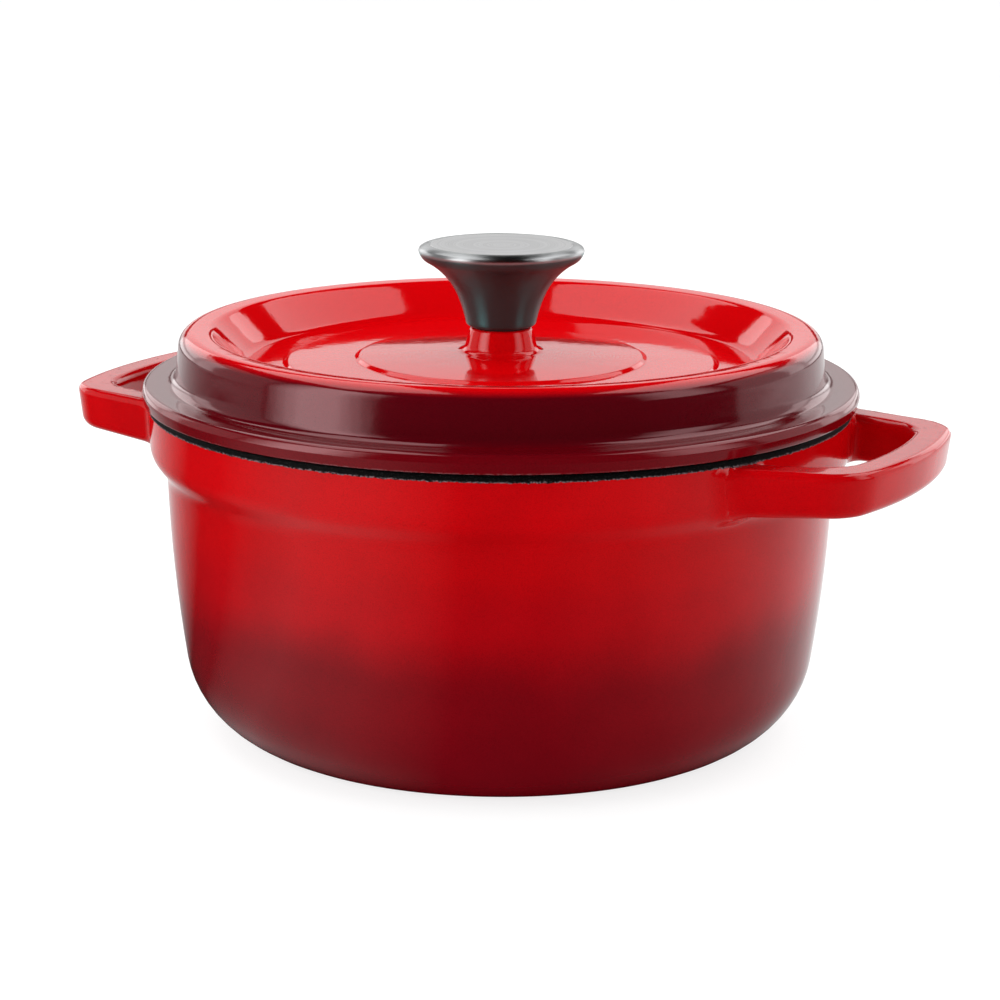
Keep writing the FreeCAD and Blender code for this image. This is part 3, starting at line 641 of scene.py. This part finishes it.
def make_lid(red, lining):
    """Turned lid: flange, raised crest, stepped plateau, boss and locating ring."""
    under = rounded([(3.4, 12.3), (11.0, 12.3), (47.6, 10.9, 1.2), (49.7, 9.8, 1.2),
                     (72.2, 9.6, 1.2), (74.6, 8.3, 1.2), (90.5, 8.3, 1.2), (102.3, 20.2, 1.2),
                     (106.5, 20.5), (108.5, 18.5, 1.8), (109.7, 1.5, 1.8), (113.8, -3.6, 0.8),
                     (RING_OUT, -3.6, 0.8), (RING_OUT, 0.0)])
    top = rounded([(RING_OUT, 0.0), (124.2, 0.0, 0.8), (125.0, 3.6, 2.2), (123.9, 6.4, 2.2),
                   (113.3, 6.0, 3.6), (112.1, 18.5)], 8)
    top += arc((112.1, 18.5), (106.5, 24.1), 5.6, 1, 12)
    plateau = arc((49.4, 14.5), (13.0, 15.9), 800.0, 1, 8)
    top += rounded([top[-1], (100.8, 23.8, 3.4), (89.0, 11.9, 6.5), (75.8, 11.9, 1.3),
                    (74.2, 13.2, 1.3), (50.9, 13.4, 1.3), (49.4, 14.5, 1.3)] + plateau[:-1]
                   + [(13.0, 15.9, 4.4), (10.8, 24.2, 1.2), (3.4, 24.2)], 7)[1:]
    profile = fine(under + top[1:], 2.0)
    seat_from = next(i for i, (r, z) in enumerate(profile) if r > RING_OUT - 0.1 and z > -0.01)
    verts, rows = turned([(r, z + SEAT) for r, z in profile], LID_TURNS, True)
    slots = [int(i < seat_from) for i, row in enumerate(rows) for _ in row]
    return new_object("Lid_casting", verts, joined(rows), [red, lining], slots)


# ------------------------------------------------------------------ knob
def make_knob_shell(metal):
    """Trumpet with a rolled rim, and the seat for the cap inside it."""
    outline = [(5.23, 0.0), (10.8, 0.0)]
    outline += arc((10.8, 0.0), (12.3, 1.2), 1.8, 1, 6)
    outline += arc((12.3, 1.2), (15.1, 10.3), 45.0, -1, 10)
    outline += arc((15.1, 10.3), (26.2, 22.6), 24.8, -1, 16)[:-1]
    outline = rounded(outline + [(26.2, 22.6, 1.5)] + arc((26.2, 22.6), (28.8, 26.2), 5.3, 1, 10)
                      + arc((28.8, 26.2), (28.0, 27.586), 1.6, 1, 8)
                      + arc((28.0, 27.586), (24.96, 28.4), 6.07, 1, 10)[:-1]
                      + [(24.75, 28.4, 0.15), (24.75, 27.0), (22.8, 27.0), (18.0, 19.4, 1.5),
                         (12.6, 11.6, 1.5), (5.23, 11.6)], 5)
    verts, rows = turned([(r, z + KNOB_FOOT) for r, z in outline], KNOB_TURNS, True)
    return new_object("Knob_shell_turned", verts, joined(rows), [metal])


def make_knob_cap(metal):
    """Thin disc with a softened edge, dished by a fraction of a millimetre."""
    flat, dish, steps = 24.4, 0.28, 24
    edge = [(24.7, CAP_FOOT), (24.7, CAP_TOP - 0.12), (24.58, CAP_TOP - 0.03)]
    face = [(flat * (1 - i / steps), CAP_TOP - 0.02 - dish * (1 - (1 - i / steps) ** 2))
            for i in range(steps + 1)]
    verts, rows = turned([(0.0, CAP_FOOT)] + edge + face, KNOB_TURNS)
    return new_object("Knob_cap_disc", verts, joined(rows), [metal])


# ------------------------------------------------------------------ assembly
red, red_top, lining, rim = red_pot(), red_lid(), cream(), black_rim()
polished = knob_steel()
satin = steel("steel_satin", (0.90, 0.90, 0.905), 0.42, 2600.0, 0.22)
plated = steel("steel_plated", (0.60, 0.61, 0.62), 0.28, 700.0, 0.12)
seal = rubber()

for piece, body, node, finish in (
        (make_pot(red, lining, rim), "pot", "pot", "enamel_red"),
        (make_lid(red_top, lining), "lid", "lid", "enamel_red"),
        (make_knob_shell(polished), "lid", "knob_shell", "steel_polished"),
        (make_knob_cap(satin), "lid", "knob_cap", "steel_satin")):
    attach(piece, body)
    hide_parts(node)

for node, material in (("knob_bush", plated), ("knob_seal", seal), ("flat_washer", plated),
                       ("spring_washer", plated), ("knob_screw", plated)):
    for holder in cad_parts[node].material_slots:
        holder.material = material

# ------------------------------------------------------------------ camera
AZIMUTH = math.radians(-62.7)               # where the camera stands, from +X
DISTANCE, EYE = 1.0, 0.32244                # metres from the axis, and above the floor
PITCH, ROLL = 0.239, 0.006                  # radians


def placed(x, y, z, origin):
    """Matrix of an object with the given unit axes and origin."""
    return Matrix(((x.x, y.x, z.x, origin.x), (x.y, y.y, z.y, origin.y),
                   (x.z, y.z, z.z, origin.z), (0, 0, 0, 1)))


toward = Vector((math.cos(AZIMUTH), math.sin(AZIMUTH), 0.0))
sight = -toward * math.cos(PITCH) - Vector((0, 0, math.sin(PITCH)))
right = sight.cross(Vector((0, 0, 1))).normalized()
up = right.cross(sight)
right, up = (right * math.cos(ROLL) + up * math.sin(ROLL),
             up * math.cos(ROLL) - right * math.sin(ROLL))
lens = bpy.data.cameras.new("Camera")
lens.lens = 104.8
lens.sensor_width = 36.0
camera = bpy.data.objects.new("Camera", lens)
camera.matrix_world = placed(right, up, -sight, toward * DISTANCE + Vector((0, 0, EYE)))
bpy.context.scene.collection.objects.link(camera)
bpy.context.scene.camera = camera

# ------------------------------------------------------------------ studio
side = Vector((-toward.y, toward.x, 0.0))    # to the right as the camera sees it


def softbox(name, centre, x_axis, y_axis, width, height, radiance):
    """Rectangular light at centre, shining against x_axis cross y_axis."""
    data = bpy.data.lights.new(name, "AREA")
    data.shape = "RECTANGLE"
    data.size, data.size_y = width, height
    data.energy = radiance * math.pi * width * height
    light = bpy.data.objects.new(name, data)
    light.matrix_world = placed(x_axis.normalized(), y_axis.normalized(),
                                x_axis.cross(y_axis).normalized(), centre)
    light.visible_camera = False
    bpy.context.scene.collection.objects.link(light)
    return light


def ceiling(name, across, near, height, width, depth, radiance):
    """Softbox facing straight down, to the right of the pot and nearer the camera than it."""
    centre = side * across + toward * near + Vector((0, 0, height))
    return softbox(name, centre, side, -toward, width, depth, radiance)


def panel(name, bearing, distance, low, high, width, radiance):
    """Upright softbox facing the pot; bearing in degrees to the right of the camera."""
    turn = math.radians(bearing)
    away = side * math.sin(turn) + toward * math.cos(turn)
    centre = away * distance + Vector((0, 0, (low + high) / 2))
    upright = Vector((0, 0, 1))
    return softbox(name, centre, upright.cross(away), upright, width, high - low, radiance)


ceiling("Soft_top_left", -0.51, -0.45, 1.15, 0.62, 1.5, 1.9)
ceiling("Soft_top_right", 0.80, -0.45, 1.15, 0.80, 1.5, 1.9)
ceiling("Fill_top", 0.0, -0.1, 1.9, 3.0, 2.6, 0.72).visible_glossy = False
for share in (1.0, 0.8, 0.6, 0.4):          # nested sheets give the strips soft edges
    number, distance = share * 10, 1.0 + 0.01 * share
    panel("Strip_left_%d" % number, -62.0, distance, 0.02, 1.0, 0.76 * share, 0.80)
    panel("Strip_right_%d" % number, 64.0, distance, 0.20, 1.0, 0.60 * share, 0.40)
panel("Side_right", 107.0, 1.3, 0.0, 1.0, 1.0, 0.6)
panel("Side_left", -107.0, 1.3, 0.0, 1.0, 1.0, 0.4)
panel("Back_low", 180.0, 2.2, 0.0, 0.29, 4.4, 1.0)
panel("Back_high", 180.0, 2.2, 0.45, 1.30, 4.4, 1.0)
panel("Back_left", -138.0, 2.0, 0.0, 1.1, 1.5, 1.0)
panel("Back_right", 138.0, 2.0, 0.0, 1.1, 1.5, 1.0)


def backdrop(name, outline, material):
    """Studio surface turned about the axis, facing inwards and up."""
    verts, rows = turned(outline, STUDIO_TURNS)
    surface = new_object(name, verts, [face[::-1] for face in joined(rows)], [material])
    return surface


white = Shader("floor_white")
white.set(colour=white.ramp(white.noise(3.0, 2.0), [(0.0, 0.28), (1.0, 0.32)]), rough=0.9,
          specular=0.0, glow=(1.0, 1.0, 1.0), glow_strength=0.78)
bowl = rounded([(0.0, 0.0), (3200.0, 0.0, 900.0), (3600.0, 3600.0)], 16)
floor = backdrop("Studio_floor", [(r, z - 0.05) for r, z in fine(bowl, 400.0)], white.material)
floor.visible_glossy = False

# Glowing sheet seen only in reflections, a painted reflection of the table: dark in front, brighter
# round to the back.
table_shade = Shader("table_reflection")
spin = table_shade.tree.nodes.new("ShaderNodeTexGradient")
spin.gradient_type = "RADIAL"
table_shade.link(table_shade.place, spin.inputs[0])
glow = table_shade.ramp(spin.outputs["Fac"], [
    (0.0, 1.0), (0.10, 0.75), (0.20, 0.02), (0.25, 0.03), (0.33, 0.36), (0.40, 0.26),
    (0.47, 0.01), (0.53, 0.01), (0.60, 0.08), (0.68, 0.28), (0.76, 0.60), (0.86, 1.0)], False)
# It is dark where the pot itself shades it.
lit = table_shade.band(table_shade.radius(), 0.090, 0.106)
table_shade.set(colour=(0.0, 0.0, 0.0), specular=0.0, glow_strength=1.0,
                glow=table_shade.mix(1.0, glow, lit, "MULTIPLY"))
table = backdrop("Studio_table_reflection_sheet", [(0.0, 0.0), (400.0, 0.0), (1500.0, 0.0)],
                 table_shade.material)
# The gradient's seam points straight away from the camera.
table.matrix_world = Matrix.Translation((0, 0, -0.0004)) @ Matrix.Rotation(AZIMUTH, 4, "Z")
table.visible_camera = False
table.visible_diffuse = False
table.visible_shadow = False

world = bpy.data.worlds.new("Studio")
world.use_nodes = True
world.node_tree.nodes["Background"].inputs["Strength"].default_value = 0.0
bpy.context.scene.world = world
bpy.context.scene.view_settings.view_transform = "Standard"
